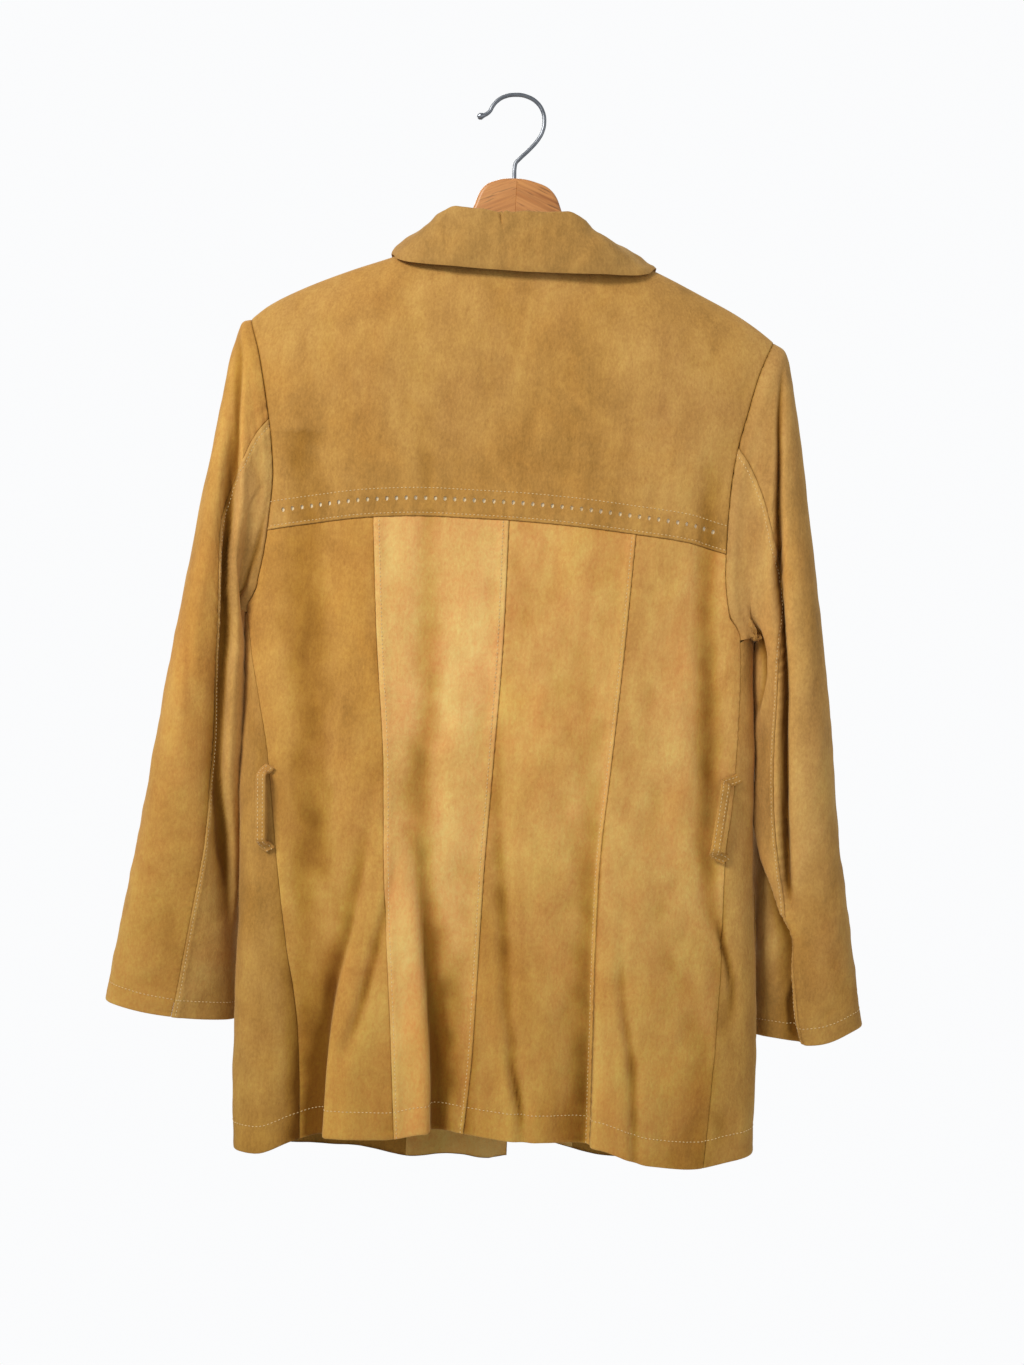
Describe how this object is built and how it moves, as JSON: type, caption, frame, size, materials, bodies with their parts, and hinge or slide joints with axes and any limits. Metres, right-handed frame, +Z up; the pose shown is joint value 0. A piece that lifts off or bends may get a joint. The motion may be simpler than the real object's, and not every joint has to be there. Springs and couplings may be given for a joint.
{
  "type": "suede jacket",
  "caption": "Hip-length tan suede jacket with a shirt collar, back yoke, panelled back and long sleeves, hanging on a wooden hanger with a wire hook.",
  "frame": {"origin": "the point inside the hanger's hook where it bears on its rail or nail", "axes": "+Z up, the back of the jacket faces +Y, its fronts face -Y, and the wearer's left is +X"},
  "size_m": [0.648, 0.1154, 0.9244],
  "materials": {
    "suede": "napped suede, matt, mottled tan",
    "beech": "clear satin lacquer",
    "wire": "bright plated wire",
    "horn": "horn-like, satin"
  },
  "bodies": {
    "root": {"back_yoke": "suede", "back_side_left": "suede", "back_centre_left": "suede", "back_centre_right": "suede", "back_side_right": "suede", "front_left": "suede", "front_right": "suede", "facing_left": "suede", "facing_right": "suede", "sleeve_left_under": "suede", "sleeve_left_upper": "suede", "sleeve_right_under": "suede", "sleeve_right_upper": "suede", "collar": "suede", "belt_loop_left": "suede", "belt_loop_right": "suede", "pocket_left": "suede", "pocket_right": "suede", "button_1": "horn", "button_2": "horn", "button_3": "horn", "button_4": "horn", "button_5": "horn", "hanger_body": "beech", "hanger_hook": "wire"}
  },
  "joints": []
}
